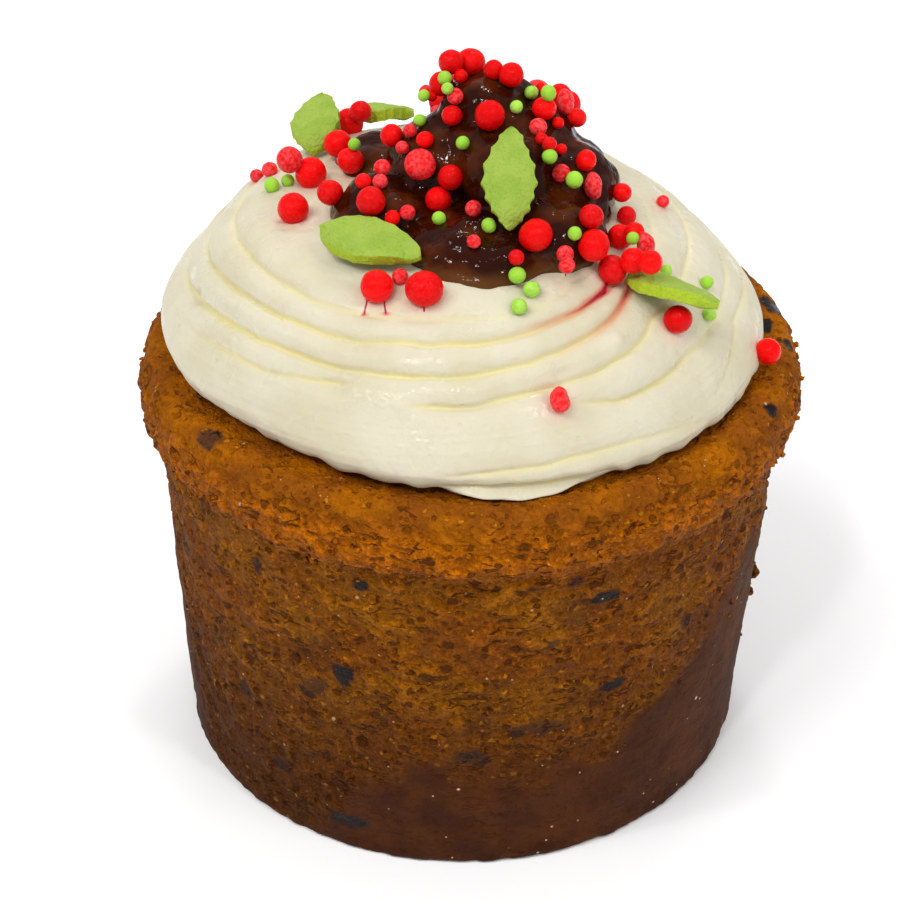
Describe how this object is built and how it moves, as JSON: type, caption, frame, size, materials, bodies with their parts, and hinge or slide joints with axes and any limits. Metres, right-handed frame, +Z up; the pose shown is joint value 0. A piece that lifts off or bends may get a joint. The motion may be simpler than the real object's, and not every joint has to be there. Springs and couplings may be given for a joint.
{
  "type": "cookie pie",
  "caption": "Deep cookie cup with a piped swirl of icing, a heap of dark fruit sauce, sugar pearls and small sugar leaves.",
  "frame": {"origin": "on the surface that it stands on, below the middle of the whole", "axes": "+Z up; the camera side is towards -Y and +X is to its right"},
  "size_m": [0.0799, 0.0794, 0.0868],
  "materials": {
    "cookie": "baked cookie crumb, matte with pits, cracks and dark chips",
    "icing": "soft satin cream-cheese icing",
    "sauce": "wet, glossy, nearly black",
    "sugar_leaf": "matte pressed sugar",
    "red_pearl": "matte sugar pearl",
    "green_pearl": "matte sugar pearl"
  },
  "bodies": {
    "root": {"cookie_base": "cookie", "icing": "icing", "fruit_sauce": "sauce", "leaf_1": "sugar_leaf", "leaf_2": "sugar_leaf", "leaf_3": "sugar_leaf", "leaf_4": "sugar_leaf", "leaf_5": "sugar_leaf"}
  },
  "joints": []
}
